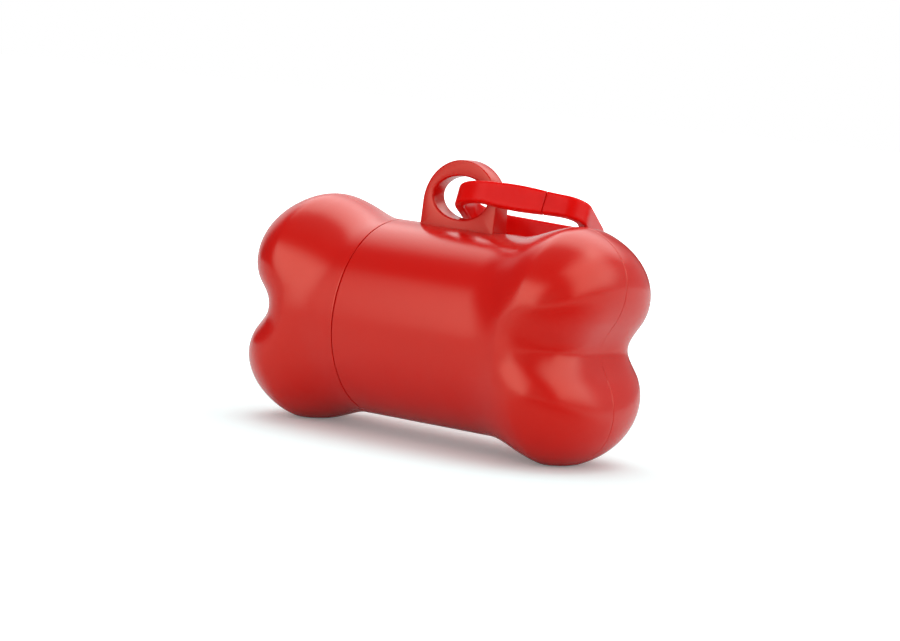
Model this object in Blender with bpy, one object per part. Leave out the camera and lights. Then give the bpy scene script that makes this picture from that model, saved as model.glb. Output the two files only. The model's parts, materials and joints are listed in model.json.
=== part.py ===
"""Bone-shaped dispenser for a small roll of bags: shell, screw cap, roll on its core, snap clip."""
import math

import bmesh
import bpy
from mathutils import Matrix, Vector

MM = 0.001

# Bone: a barrel along X with rounded ends between two lobes on each side (millimetres, from its middle)
BARREL_RADIUS = 20.0
BARREL_HALF_LENGTH = 30.7
BARREL_EDGE_ROUND = 5.1
LOBE_REACH = 30.4
LOBE_SINK = 2.85
LOBE_HALF_LENGTH = 12.15
LOBE_HALF_HEIGHT = 17.55
NOTCH_BLEND = 7.65
CROWN_FRONT = 3.25
CROWN_TOP = 4.55
CROWN_BLEND = 17.5
BARREL_BLEND = 4.4
WALL = 1.8
FOOT_DEPTH = 0.7

# Joint between shell and cap: a shoulder, a threaded neck and the cap's bore
SEAM = -13.5
SEAM_GAP = 0.3
SHOULDER_DEPTH = 3.4
SHOULDER_WALL = 1.8
NECK_LENGTH = 7.5
NECK_WALL = 1.5
NECK_CHAMFER = 0.4
THREAD_DEPTH = 0.8
THREAD_LEAD = 8.0
THREAD_STARTS = 2
THREAD_ROOT_HALF = 0.75
THREAD_CREST_HALF = 0.4
THREAD_MARGIN = 1.6
THREAD_SINK = 0.35
THREAD_CLEARANCE = 0.3

# Roll of bags on a card core, which turns on a pin at each end
ROLL_LENGTH = 56.0
ROLL_PLAY = 1.0
CORE_OVERHANG = 0.5
CORE_BORE = 4.5
CORE_WALL = 1.0
RUNNING_GAP = 0.3
PIN_LENGTH = 5.5
COLLAR_LIP = 0.7
COLLAR_CLEAR = 2.5

# Slot in the back of the barrel that the bags are drawn through
SLOT_MIDDLE = 1.5
SLOT_LENGTH = 22.0
SLOT_HEIGHT = 6.0

# Hang loop on top of the barrel: a plate with straight sides, a round head and an oval hole
LOOP_MIDDLE = 1.68
LOOP_HALF_WIDTH = 8.98
LOOP_RISE = 13.6
LOOP_ROOT = 1.1
LOOP_FOOT_THICKNESS = 4.9
LOOP_HEAD_THICKNESS = 3.6
HOLE_HALF_WIDTH = 6.6
HOLE_HALF_HEIGHT = 4.28
HOLE_RISE = 6.05
HOLE_RIM = 0.6

# Snap clip: an oblong band that threads the hole and lies over the shell, with a sprung gate
CLIP_LENGTH = 26.2
CLIP_WIDTH = 19.7
CLIP_CORNER = 4.6
CLIP_BAND = 4.3
CLIP_THICKNESS = 2.2
CLIP_EDGE = 0.5
CLIP_OFFSET = Vector((10.71, 6.74, -2.15))
CLIP_YAW = math.radians(17.9)
CLIP_TILT = math.radians(21.15)
CLIP_PITCH = math.radians(3.4)
CLIP_AXIS_SHIFT = Vector((-0.65, 0.0, -0.15))
GATE_ROOT = -4.5
GATE_TIP = 5.7
GATE_GAP = 0.3

# Fineness of the round forms
AROUND = 56
END_STEPS = 12
BLEND_STEPS = 10
LOOP_POINTS = 36
CORNER_STEPS = 6
RIDGE_STEPS = 14
RAY_REACH = 90.0
RAY_HALVINGS = 34
NORMAL_STEP = 0.01
SHARP_ANGLE = math.radians(32)

# Sizes that follow from the ones above
LOBE_RISE = BARREL_RADIUS - LOBE_SINK
CROWN_HALF_DEPTH = BARREL_RADIUS + CROWN_FRONT
CROWN_HALF_HEIGHT = BARREL_RADIUS + CROWN_TOP
SWELL_START = LOBE_REACH - LOBE_HALF_LENGTH - BARREL_BLEND
NECK_END = SEAM - NECK_LENGTH
NECK_RADIUS = BARREL_RADIUS - SHOULDER_DEPTH
NECK_BORE = NECK_RADIUS - NECK_WALL
CAP_BORE = NECK_RADIUS + THREAD_DEPTH + THREAD_CLEARANCE
CAP_BORE_END = NECK_END - RUNNING_GAP
ROLL_RADIUS = NECK_BORE - ROLL_PLAY
CORE_RADIUS = CORE_BORE + CORE_WALL
CORE_HALF = ROLL_LENGTH / 2 + CORE_OVERHANG
PIN_RADIUS = CORE_BORE - RUNNING_GAP
COLLAR_RADIUS = CORE_RADIUS + COLLAR_LIP
HOLE_CENTRE = Vector((LOOP_MIDDLE, 0.0, BARREL_RADIUS + HOLE_RISE))
CLIP_AXIS = HOLE_CENTRE + CLIP_AXIS_SHIFT


def smooth_min(first, second, reach):
    """Lower of two distances, rounded over where they are within reach of each other."""
    overlap = max(reach - abs(first - second), 0.0) / reach
    return min(first, second) - overlap * overlap * reach / 4


def smooth_max(first, second, reach):
    """Higher of two distances, rounded over in the same way."""
    return -smooth_min(-first, -second, reach)


def ellipse_distance(across, up, half_width, half_height):
    """Distance to an ellipse, negative inside it, close enough near its edge."""
    share = math.hypot(across / half_width, up / half_height)
    slope = math.hypot(across / half_width ** 2, up / half_height ** 2)
    if slope < 1e-9:
        return -min(half_width, half_height)
    return share * (share - 1) / slope


def bone_distance(point):
    """Distance to the bone's skin, negative inside: the barrel and the crowned lobes, blended."""
    along = abs(point.x)
    round_over = BARREL_EDGE_ROUND
    side = math.hypot(point.y, point.z) - (BARREL_RADIUS - round_over)
    end = along - (BARREL_HALF_LENGTH - round_over)
    corner = math.hypot(max(side, 0.0), max(end, 0.0))
    barrel = min(max(side, end), 0.0) + corner - round_over
    upper, lower = (
        ellipse_distance(along - LOBE_REACH, point.z - rise, LOBE_HALF_LENGTH, LOBE_HALF_HEIGHT)
        for rise in (LOBE_RISE, -LOBE_RISE)
    )
    lobes = smooth_min(upper, lower, NOTCH_BLEND)
    crown = ellipse_distance(point.y, point.z, CROWN_HALF_DEPTH, CROWN_HALF_HEIGHT)
    return smooth_min(barrel, smooth_max(lobes, crown, CROWN_BLEND), BARREL_BLEND)


def skin_point(start, direction):
    """Where a ray from inside the bone leaves it."""
    near, far = 0.0, RAY_REACH
    for _ in range(RAY_HALVINGS):
        middle = (near + far) / 2
        if bone_distance(start + direction * middle) < 0.0:
            near = middle
        else:
            far = middle
    return start + direction * near


def skin_normal(point):
    """Outward direction of the bone's skin."""
    steps = [Vector(axis) * NORMAL_STEP for axis in ((1, 0, 0), (0, 1, 0), (0, 0, 1))]
    slope = [bone_distance(point + step) - bone_distance(point - step) for step in steps]
    return Vector(slope).normalized()


def turn_direction(index):
    """Direction in the YZ plane of one of the points of a ring."""
    turn = 2 * math.pi * index / AROUND
    return Vector((0.0, math.cos(turn), math.sin(turn)))


def lobe_low():
    """How far the lower lobes reach below the barrel's axis."""
    return -skin_point(Vector((LOBE_REACH, 0.0, 0.0)), Vector((0.0, 0.0, -1.0))).z


AXIS_HEIGHT = lobe_low() - FOOT_DEPTH


def skin_ring(side, reach, tilt=0.0):
    """Ring of skin points seen from one place on the axis, tilted towards the end of the bone."""
    start = Vector((side * reach, 0.0, 0.0))
    lean = Vector((side * math.sin(tilt), 0.0, 0.0))
    return [skin_point(start, lean + turn_direction(k) * math.cos(tilt)) for k in range(AROUND)]


def footed(ring, height):
    """The ring with its lowest points drawn up to a level plane below the axis."""
    return [Vector((p.x, p.y, max(p.z, -height))) for p in ring]


def inner_ring(ring):
    """The ring moved inwards by the wall."""
    return [p - skin_normal(p) * WALL for p in ring]


def round_ring(place, radius):
    """Circle around the axis."""
    return [Vector((place, 0.0, 0.0)) + turn_direction(k) * radius for k in range(AROUND)]


def end_rings(side, blend_start):
    """Skin rings of one end of the bone, from beside the notch back to the barrel."""
    tilts = [math.pi / 2 * k / END_STEPS for k in range(END_STEPS - 1, 0, -1)]
    rings = [skin_ring(side, LOBE_REACH, tilt) for tilt in tilts]
    run = LOBE_REACH - blend_start
    rings += [skin_ring(side, LOBE_REACH - run * k / BLEND_STEPS) for k in range(BLEND_STEPS + 1)]
    return rings


def pin_rings(side, wall_place):
    """Rings of the collar and the pin that carry the core, from the end wall inwards."""
    stop = CORE_HALF + RUNNING_GAP
    tip = CORE_HALF - PIN_LENGTH
    steps = ((wall_place, COLLAR_RADIUS), (stop, COLLAR_RADIUS), (stop, PIN_RADIUS), (tip, PIN_RADIUS))
    return [round_ring(side * place, radius) for place, radius in steps]


def notch_place(side):
    """Middle of the notch between the lobes, on the axis."""
    return skin_point(Vector((side * LOBE_REACH, 0.0, 0.0)), Vector((side, 0.0, 0.0)))


def sleeve(rings, first_pole=None, last_pole=None):
    """Closed skin through rings of equal count, closed by a point at each end or run round as a tube."""
    mesh = bmesh.new()
    loops = [[mesh.verts.new(p * MM) for p in ring] for ring in rings]
    count = len(rings[0])
    pairs = list(zip(loops, loops[1:]))
    if first_pole is None:
        pairs.append((loops[-1], loops[0]))
    for one, two in pairs:
        for k in range(count):
            after = (k + 1) % count
            mesh.faces.new((one[k], one[after], two[after], two[k]))
    for pole, loop in ((first_pole, loops[0]), (last_pole, loops[-1])):
        if pole is not None:
            tip = mesh.verts.new(pole * MM)
            for k in range(count):
                mesh.faces.new((loop[k], loop[(k + 1) % count], tip))
    bmesh.ops.recalc_face_normals(mesh, faces=mesh.faces)
    return mesh


def material(name, colour, roughness):
    """Principled material of one moulded, wound or rolled stuff."""
    made = bpy.data.materials.new(name)
    made.use_nodes = True
    shader = made.node_tree.nodes["Principled BSDF"]
    shader.inputs["Base Color"].default_value = (*colour, 1.0)
    shader.inputs["Roughness"].default_value = roughness
    shader.inputs["Metallic"].default_value = 0.0
    return made


def add_piece(name, mesh, place, stuff=None):
    """Object of a finished mesh at its place; without a material it is a tool that shapes another."""
    data = bpy.data.meshes.new(name)
    mesh.to_mesh(data)
    mesh.free()
    data.shade_smooth()
    data.set_sharp_from_angle(angle=SHARP_ANGLE)
    piece = bpy.data.objects.new(name, data)
    piece.matrix_world = place
    bpy.context.collection.objects.link(piece)
    if stuff is None:
        piece.hide_render = True
        piece.display_type = "WIRE"
    else:
        data.materials.append(stuff)
    return piece


def combine(piece, tool, operation):
    """Boolean of a shaping tool on a piece."""
    step = piece.modifiers.new(tool.name, "BOOLEAN")
    step.operation = operation
    step.solver = "EXACT"
    step.object = tool


def thread_ridges(root, crest, offset):
    """Ridges of the thread around the axis, one for each start, as separate bars."""
    mesh = bmesh.new()
    first, last = SEAM - THREAD_MARGIN, NECK_END + THREAD_MARGIN
    for start in range(THREAD_STARTS):
        bars = []
        for k in range(RIDGE_STEPS + 1):
            place = first + (last - first) * k / RIDGE_STEPS
            turn = 2 * math.pi * ((place - SEAM) / THREAD_LEAD + (start + offset) / THREAD_STARTS)
            out = Vector((0.0, math.cos(turn), math.sin(turn)))
            corners = (
                (-THREAD_ROOT_HALF, root), (-THREAD_CREST_HALF, crest),
                (THREAD_CREST_HALF, crest), (THREAD_ROOT_HALF, root),
            )
            bars.append([mesh.verts.new((Vector((place + s, 0, 0)) + out * r) * MM) for s, r in corners])
        for one, two in zip(bars, bars[1:]):
            for k in range(4):
                mesh.faces.new((one[k], one[(k + 1) % 4], two[(k + 1) % 4], two[k]))
        mesh.faces.new(bars[0])
        mesh.faces.new(bars[-1])
    bmesh.ops.recalc_face_normals(mesh, faces=mesh.faces)
    return mesh


def slot_cutter():
    """Bar with round ends that cuts the slot through the back wall."""
    mesh = bmesh.new()
    radius = SLOT_HEIGHT / 2
    run = SLOT_LENGTH / 2 - radius
    outline = []
    for side in (1, -1):
        for k in range(CORNER_STEPS + 1):
            turn = math.pi / 2 - math.pi * k / CORNER_STEPS
            along = side * (run + radius * math.cos(turn))
            outline.append(Vector((SLOT_MIDDLE + along, 0.0, side * radius * math.sin(turn))))
    low = BARREL_RADIUS - WALL - radius
    high = BARREL_RADIUS + WALL
    face = mesh.faces.new([mesh.verts.new((p + Vector((0, low, 0))) * MM) for p in outline])
    grown = bmesh.ops.extrude_face_region(mesh, geom=[face])
    tops = [v for v in grown["geom"] if isinstance(v, bmesh.types.BMVert)]
    bmesh.ops.translate(mesh, verts=tops, vec=Vector((0, high - low, 0)) * MM)
    bmesh.ops.recalc_face_normals(mesh, faces=mesh.faces)
    return mesh


def loop_outline(direction):
    """Distance from the middle of the hole to the edge of the loop's plate."""
    base = BARREL_RADIUS - LOOP_ROOT
    head = BARREL_RADIUS + LOOP_RISE - LOOP_HALF_WIDTH
    low = base - HOLE_CENTRE.z
    drop = head - HOLE_CENTRE.z
    across, up = direction
    reach = LOOP_HALF_WIDTH / max(abs(across), 1e-6)
    if up < 0.0:
        reach = min(reach, low / up)
    if reach * up > drop:
        reach = up * drop + math.sqrt((up * drop) ** 2 - drop ** 2 + LOOP_HALF_WIDTH ** 2)
    return reach


def loop_plate():
    """Plate of the hang loop: straight sides, round head, oval hole with a rounded rim."""
    base = BARREL_RADIUS - LOOP_ROOT
    corner = math.atan2(base - HOLE_CENTRE.z, LOOP_HALF_WIDTH)
    turns = [2 * math.pi * k / LOOP_POINTS for k in range(LOOP_POINTS)]
    for wanted in (corner % (2 * math.pi), (math.pi - corner) % (2 * math.pi)):
        nearest = min(range(LOOP_POINTS), key=lambda k: abs(turns[k] - wanted))
        turns[nearest] = wanted
    directions = [(math.cos(turn), math.sin(turn)) for turn in turns]
    taper = (LOOP_FOOT_THICKNESS - LOOP_HEAD_THICKNESS) / (LOOP_RISE + LOOP_ROOT)

    def layer(grow, side, sink):
        points = []
        for across, up in directions:
            if grow is None:
                x, z = (loop_outline((across, up)) * share for share in (across, up))
            else:
                x, z = (HOLE_HALF_WIDTH + grow) * across, (HOLE_HALF_HEIGHT + grow) * up
            half = (LOOP_FOOT_THICKNESS - taper * (z + HOLE_CENTRE.z - base)) / 2
            points.append(HOLE_CENTRE + Vector((x, side * (half - sink), z)))
        return points

    return sleeve([
        layer(None, 1, 0.0), layer(None, -1, 0.0), layer(HOLE_RIM, -1, 0.0),
        layer(0.0, -1, HOLE_RIM), layer(0.0, 1, HOLE_RIM), layer(HOLE_RIM, 1, 0.0),
    ])


def shell_mesh():
    """Right end, barrel, shoulder and neck with the inside of the barrel and the core's pin."""
    outer = end_rings(1, SWELL_START)
    pole = notch_place(1)
    seam_place = SEAM + SEAM_GAP / 2
    bore_end = SEAM + SHOULDER_WALL
    rings = [footed(ring, AXIS_HEIGHT) for ring in outer]
    rings += [
        round_ring(seam_place, BARREL_RADIUS),
        round_ring(seam_place, NECK_RADIUS),
        round_ring(NECK_END + NECK_CHAMFER, NECK_RADIUS),
        round_ring(NECK_END, NECK_RADIUS - NECK_CHAMFER),
        round_ring(NECK_END, NECK_BORE),
        round_ring(bore_end, NECK_BORE),
        round_ring(bore_end, BARREL_RADIUS - WALL),
    ]
    rings += inside_end(outer)
    rings += pin_rings(1, pole.x - WALL)
    return sleeve(rings, pole, Vector((CORE_HALF - PIN_LENGTH, 0.0, 0.0)))


def inside_end(outer):
    """Inner rings of one end, from the barrel up to the collar around the pin."""
    clear = COLLAR_RADIUS + COLLAR_CLEAR
    kept = [ring for ring in reversed(outer) if min(math.hypot(p.y, p.z) for p in ring) > clear]
    return [footed(inner_ring(ring), AXIS_HEIGHT - WALL) for ring in kept]


def cap_mesh():
    """Left end of the bone with the bore that takes the neck and the pin for the core."""
    outer = end_rings(-1, -SEAM + SEAM_GAP / 2)
    pole = notch_place(-1)
    bore_start = SEAM - SEAM_GAP / 2
    inner = [ring for ring in outer if max(p.x for p in ring) < CAP_BORE_END - WALL / 2]
    rings = [footed(ring, AXIS_HEIGHT) for ring in outer]
    rings += [round_ring(bore_start, CAP_BORE), round_ring(CAP_BORE_END, CAP_BORE)]
    rings += inside_end(inner)
    rings += pin_rings(-1, -pole.x - WALL)
    return sleeve(rings, pole, Vector((PIN_LENGTH - CORE_HALF, 0.0, 0.0)))


def tube_mesh(half_length, inner, outer):
    """Plain tube around the axis."""
    spans = ((half_length, outer), (-half_length, outer), (-half_length, inner), (half_length, inner))
    return sleeve([round_ring(place, radius) for place, radius in spans])


def clip_axes():
    """Directions of the clip at rest: along it, across it to the back, and square to its plane."""
    along = Vector((
        math.cos(CLIP_YAW) * math.cos(CLIP_PITCH),
        math.sin(CLIP_YAW) * math.cos(CLIP_PITCH),
        -math.sin(CLIP_PITCH),
    ))
    level = Vector((-math.sin(CLIP_YAW), math.cos(CLIP_YAW), 0.0))
    square = along.cross(level)
    back = level * math.cos(CLIP_TILT) - square * math.sin(CLIP_TILT)
    return along, back, along.cross(back)


def clip_matrix(origin):
    """Place of a piece of the clip whose own origin is the given point."""
    along, back, square = clip_axes()
    turn = Matrix((along, back, square)).transposed().to_4x4()
    return Matrix.Translation((origin + Vector((0.0, 0.0, AXIS_HEIGHT))) * MM) @ turn


def clip_centre():
    """Middle of the clip at rest."""
    return HOLE_CENTRE + CLIP_OFFSET


def gate_pivot():
    """Middle of the gate's hinge, in the clip's own directions from the clip's middle."""
    return Vector((GATE_ROOT, -CLIP_WIDTH / 2, 0.0))


def extrude_band(outline):
    """Band of the clip's height over a closed outline in the clip's plane."""
    mesh = bmesh.new()
    half = Vector((0.0, 0.0, CLIP_BAND / 2))
    face = mesh.faces.new([mesh.verts.new((p - half) * MM) for p in outline])
    grown = bmesh.ops.extrude_face_region(mesh, geom=[face])
    tops = [v for v in grown["geom"] if isinstance(v, bmesh.types.BMVert)]
    bmesh.ops.translate(mesh, verts=tops, vec=half * 2 * MM)
    bmesh.ops.recalc_face_normals(mesh, faces=mesh.faces)
    return mesh


def round_edges(piece):
    """Small round on the long edges of a moulded bar."""
    step = piece.modifiers.new("edge_round", "BEVEL")
    step.width = CLIP_EDGE * MM
    step.segments = 2
    step.limit_method = "ANGLE"
    step.angle_limit = SHARP_ANGLE


def hook_outline():
    """Outline of the open band: from the gate's hinge round the far side to the nose."""
    half = CLIP_THICKNESS / 2
    run, rise = CLIP_LENGTH / 2 - CLIP_CORNER, CLIP_WIDTH / 2 - CLIP_CORNER
    corners = ((-run, -rise, 270), (-run, rise, 180), (run, rise, 90), (run, -rise, 0))

    def edge(radius, near):
        points = [Vector((GATE_ROOT - half - GATE_GAP, near, 0.0))]
        for x, y, start in corners:
            for k in range(CORNER_STEPS + 1):
                turn = math.radians(start - 90 * k / CORNER_STEPS)
                points.append(Vector((x + radius * math.cos(turn), y + radius * math.sin(turn), 0.0)))
        return points + [Vector((GATE_TIP + GATE_GAP, near, 0.0))]

    outside = edge(CLIP_CORNER + half, -CLIP_WIDTH / 2 - half)
    inside = edge(CLIP_CORNER - half, -CLIP_WIDTH / 2 + half)
    return outside + inside[::-1]


def gate_outline():
    """Outline of the gate from its round hinge end to its square tip."""
    half = CLIP_THICKNESS / 2
    points = []
    for k in range(CORNER_STEPS + 1):
        turn = math.pi / 2 + math.pi * k / CORNER_STEPS
        points.append(Vector((half * math.cos(turn), half * math.sin(turn), 0.0)))
    length = GATE_TIP - GATE_ROOT
    return points + [Vector((length, -half, 0.0)), Vector((length, half, 0.0))]


def build():
    """Clear the scene and make every piece."""
    for old in list(bpy.data.objects):
        bpy.data.objects.remove(old, do_unlink=True)
    satin = material("satin_red_plastic", (0.62, 0.03, 0.025), 0.42)
    gloss = material("glossy_red_plastic", (0.66, 0.012, 0.012), 0.22)
    card = material("grey_card", (0.45, 0.36, 0.26), 0.85)
    film = material("black_film", (0.03, 0.03, 0.035), 0.45)
    axis = Matrix.Translation(Vector((0.0, 0.0, AXIS_HEIGHT)) * MM)

    shell = add_piece("body_shell", shell_mesh(), axis, satin)
    neck_thread = thread_ridges(NECK_RADIUS - THREAD_SINK, NECK_RADIUS + THREAD_DEPTH, 0.0)
    combine(shell, add_piece("neck_thread_tool", neck_thread, axis), "UNION")
    combine(shell, add_piece("hang_loop_tool", loop_plate(), axis), "UNION")
    combine(shell, add_piece("slot_tool", slot_cutter(), axis), "DIFFERENCE")

    cap = add_piece("screw_cap", cap_mesh(), axis, satin)
    cap_thread = thread_ridges(CAP_BORE + THREAD_SINK, CAP_BORE - THREAD_DEPTH, 0.5)
    combine(cap, add_piece("cap_thread_tool", cap_thread, axis), "UNION")

    add_piece("roll_core", tube_mesh(CORE_HALF, CORE_BORE, CORE_RADIUS), axis, card)
    roll = tube_mesh(ROLL_LENGTH / 2, CORE_RADIUS + RUNNING_GAP, ROLL_RADIUS)
    add_piece("bag_roll", roll, axis, film)

    along, back, square = clip_axes()
    turn = Matrix((along, back, square)).transposed()
    to_axis = turn.transposed() @ (clip_centre() - CLIP_AXIS)
    hook_points = [p + to_axis for p in hook_outline()]
    hook = add_piece("clip_hook", extrude_band(hook_points), clip_matrix(CLIP_AXIS), gloss)
    round_edges(hook)
    hinge = clip_centre() + turn @ gate_pivot()
    gate = add_piece("clip_gate", extrude_band(gate_outline()), clip_matrix(hinge), gloss)
    round_edges(gate)


build()
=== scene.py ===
import json
import math

import bmesh
import bpy
import numpy as np
from bpy.props import FloatProperty, FloatVectorProperty, PointerProperty
from mathutils import Matrix, Vector


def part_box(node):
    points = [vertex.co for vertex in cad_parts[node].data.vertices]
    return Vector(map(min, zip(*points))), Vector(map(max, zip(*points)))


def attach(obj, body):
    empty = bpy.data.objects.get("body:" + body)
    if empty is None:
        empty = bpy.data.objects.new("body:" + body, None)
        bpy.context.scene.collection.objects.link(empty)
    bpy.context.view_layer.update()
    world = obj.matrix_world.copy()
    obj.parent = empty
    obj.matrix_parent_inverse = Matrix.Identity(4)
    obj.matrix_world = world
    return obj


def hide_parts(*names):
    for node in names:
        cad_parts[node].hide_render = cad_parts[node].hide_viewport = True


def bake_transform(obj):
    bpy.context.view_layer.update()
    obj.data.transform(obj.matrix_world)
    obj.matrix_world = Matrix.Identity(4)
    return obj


bl_info = {
    "name": "Bone bag dispenser",
    "version": (1, 0, 0),
    "blender": (4, 5, 0),
    "location": "View3D > Sidebar > Dispenser",
    "description": "Dresses the bone-shaped bag dispenser and sets its studio stage",
    "category": "Object",
}

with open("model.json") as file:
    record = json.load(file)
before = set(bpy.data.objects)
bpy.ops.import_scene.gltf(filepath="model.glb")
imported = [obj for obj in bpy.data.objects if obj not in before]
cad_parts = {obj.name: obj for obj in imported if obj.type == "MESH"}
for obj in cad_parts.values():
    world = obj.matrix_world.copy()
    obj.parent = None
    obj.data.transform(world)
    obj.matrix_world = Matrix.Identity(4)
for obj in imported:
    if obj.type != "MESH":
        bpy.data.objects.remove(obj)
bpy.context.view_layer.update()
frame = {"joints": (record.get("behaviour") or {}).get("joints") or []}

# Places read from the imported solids, which leave a gap at the seam between cap and shell
ROLL_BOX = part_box("bag_roll")
CORE_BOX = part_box("roll_core")
CAP_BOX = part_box("screw_cap")
CAD_SEAM_GAP = 0.0003
SEAM_PLACE = CAP_BOX[1][0] + CAD_SEAM_GAP / 2
AXIS_HEIGHT = (ROLL_BOX[0][2] + ROLL_BOX[1][2]) / 2
JOINTS = {joint["name"]: joint for joint in frame["joints"]}

# Fineness of the surfaces: steps around and along the bone, its thread, its loop, the clip and the roll
AROUND = 160
END_STEPS = 60
BLEND_STEPS = 44
BARREL_STEPS = 12
INSIDE_STRIDE = 3
THREAD_STEPS = 56
LOOP_AROUND = 144
LOOP_EDGE_STEPS = 4
CORNER_STEPS = 14
EDGE_STEPS = 6
STRAIGHT_STEPS = 12
JOIN_STEPS = 4
GATE_STEPS = 40
FILM_LAYERS = 22
FILM_WAVES = 48

# Edges: the flat strip beside a round one, the angle from which one is crisp, and what counts as no length
FLAT_LEAD = 0.0002
SHARP_ANGLE = math.radians(40)
TINY = 1e-9

# Shapes that no size changes: starts of the thread, turns from ring to ring of the two waves that ripple the
# film, and how far a small round has moved in, in its radii, at its middle
THREAD_STARTS = 2
RIPPLE_TURNS = (2.1, 0.7)
ROUND_MIDDLE = 0.3

# How the skin is found: reach and halvings of a ray, step of a slope, and the ease at the middle of a lobe
RAY_REACH = 0.09
RAY_HALVINGS = 40
SLOPE_STEP = 1e-5
MIDDLE_EASE = 0.28

# Points beside the mould line in degrees round the axis, and how far they spread where the rings close in
LINE_OFFSETS = (-0.9, -0.45, 0.45, 0.9)
LINE_SPREAD = 2.3

# Sockets of a mix node that hold its two colours and their mix
MIX_FIRST = 6
MIX_SECOND = 7
MIX_RESULT = 2

# Hang of the clip at rest
CLIP_YAW = math.radians(17.9)
CLIP_TILT = math.radians(21.15)
CLIP_PITCH = math.radians(3.4)

# Soft lamps: their distance, where their light begins to fade and ends in shares of their size, and for each
# its name, azimuth and elevation in degrees, size in metres, power in watts and whether it is only mirrored
LAMP_REACH = 0.8
LAMP_FADE = (0.2, 0.5)
LAMPS = (
    ("front_softbox", -6, 23, (1.40, 0.98), 12.5, True),
    ("right_softbox", 109, 38, (1.06, 1.24), 10.2, True),
    ("side_softbox", 160, 14, (1.30, 0.80), 1.5, True),
    ("back_softbox", -160, 55, (1.40, 0.84), 9.6, True),
    ("left_softbox", -130, 16, (1.00, 0.80), 2.2, True),
    ("overhead_light", -150, 72, (1.20, 1.20), 7.0, False),
    ("front_light", 30, 8, (1.20, 0.70), 3.2, False),
    ("right_light", 122, 8, (1.20, 0.70), 2.6, False),
)

# Room: its light on the pieces, and what they mirror of it between the lamps
ROOM_LIGHT = 0.78
ROOM_MIRRORED = 0.03

# Floor: half its width; the middle of its unlit side, with the distances from there and the shares of dark
# over which it clears up; and the distances from the dispenser and the strengths over which it turns white
FLOOR_HALF = 4.0
UNLIT_PLACE = (0.14, -0.07, 0.0)
UNLIT_REACH = (0.07, 0.14)
UNLIT_SHARE = (1.0, 0.15)
WHITE_REACH = (0.08, 0.28)
WHITE_STRENGTH = (0.15, 1.0)

# Photograph's width and the camera's focal length in pixels, and the place and turn fitted to the photograph
PHOTO_WIDTH = 900
PHOTO_FOCAL = 2787.2
SENSOR_WIDTH = 36.0
CAMERA_PLACE = (0.32327, -0.45406, 0.05201)
CAMERA_AZIMUTH = math.radians(35.38)
CAMERA_ELEVATION = math.radians(5.21)
CAMERA_ROLL = math.radians(5.75)


def linear(code):
    """Linear colour of an sRGB hex value."""
    channels = [int(code[k:k + 2], 16) / 255 for k in (1, 3, 5)]
    return tuple(c / 12.92 if c <= 0.04045 else ((c + 0.055) / 1.055) ** 2.4 for c in channels)


def length(name, description, default):
    """Length property in metres."""
    return FloatProperty(name=name, description=description, default=default, unit="LENGTH", precision=5)


def colour(name, description, code):
    """Colour property from an sRGB hex value."""
    return FloatVectorProperty(
        name=name, description=description, default=linear(code), subtype="COLOR", min=0.0, max=1.0,
    )


class BoneSizes(bpy.types.PropertyGroup):
    """Sizes of the two mouldings that make the bone."""
    barrel_radius: length("Barrel radius", "Radius of the straight barrel", 0.0200)
    barrel_half_length: length("Barrel half length", "Middle of the barrel to its rounded end", 0.0307)
    barrel_edge_round: length("Barrel edge round", "Round at the ends of the barrel", 0.0051)
    lobe_reach: length("Lobe reach", "Middle of the barrel to the middle of a lobe", 0.0304)
    lobe_rise: length("Lobe rise", "Axis to the middle of a lobe", 0.01715)
    lobe_half_length: length("Lobe half length", "Half the length of a lobe along the bone", 0.01215)
    lobe_half_height: length("Lobe half height", "Half the height of a lobe", 0.01755)
    notch_blend: length("Notch blend", "Roundness of the notch between two lobes", 0.00765)
    crown_half_depth: length("Crown half depth", "Half depth of the oval that rounds the lobes", 0.02325)
    crown_half_height: length("Crown half height", "Half height of the same oval", 0.02455)
    crown_blend: length("Crown blend", "Roundness from the oval to the lobes", 0.0175)
    barrel_blend: length("Barrel blend", "Roundness from the barrel to the lobes", 0.0044)
    wall: length("Wall", "Thickness of the mouldings", 0.0018)
    rim_round: length("Rim round", "Round of the edges at the seam", 0.00012)
    seam_gap: length("Seam gap", "Gap between cap and shell", 0.0002)
    mould_line: length("Mould line", "Depth of the line where the mould halves met", 0.00007)
    shoulder_depth: length("Shoulder depth", "Barrel's skin to the neck", 0.0034)
    shoulder_wall: length("Shoulder wall", "Thickness of the shoulder", 0.0018)
    neck_length: length("Neck length", "Length of the threaded neck", 0.0075)
    neck_wall: length("Neck wall", "Thickness of the neck", 0.0015)
    thread_depth: length("Thread depth", "Height of the thread's ridges", 0.0008)
    thread_lead: length("Thread lead", "Travel of the cap in one turn", 0.008)
    thread_clearance: length("Thread clearance", "Gap between the ridges and what they run in", 0.0003)
    thread_lead_in: length("Thread lead-in", "Free end of the neck before and after the ridges", 0.0016)
    thread_foot: length("Thread foot", "Half the width of a ridge at its foot", 0.00075)
    thread_crest: length("Thread crest", "Half the width of a ridge at its crest", 0.0004)
    thread_sink: length("Thread sink", "How far a ridge is set into the wall", 0.00035)
    neck_round: length("Neck round", "Broken edge at the end of the neck", 0.0004)
    bore_round: length("Bore round", "Broken edge at the mouth of the cap", 0.0003)
    running_gap: length("Running gap", "Gap between pieces that turn on each other", 0.0003)
    foot_ease: length("Foot ease", "Soft edge of the flats that the bone stands on", 0.0004)
    collar_lip: length("Collar lip", "How far a collar stands out past the core", 0.0007)
    collar_clear: length("Collar clearance", "Free space on the end wall around a collar", 0.0025)
    pin_length: length("Pin length", "Length of a pin inside the core", 0.0055)
    pin_round: length("Pin round", "Broken edge at the tip of a pin", 0.0005)


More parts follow.
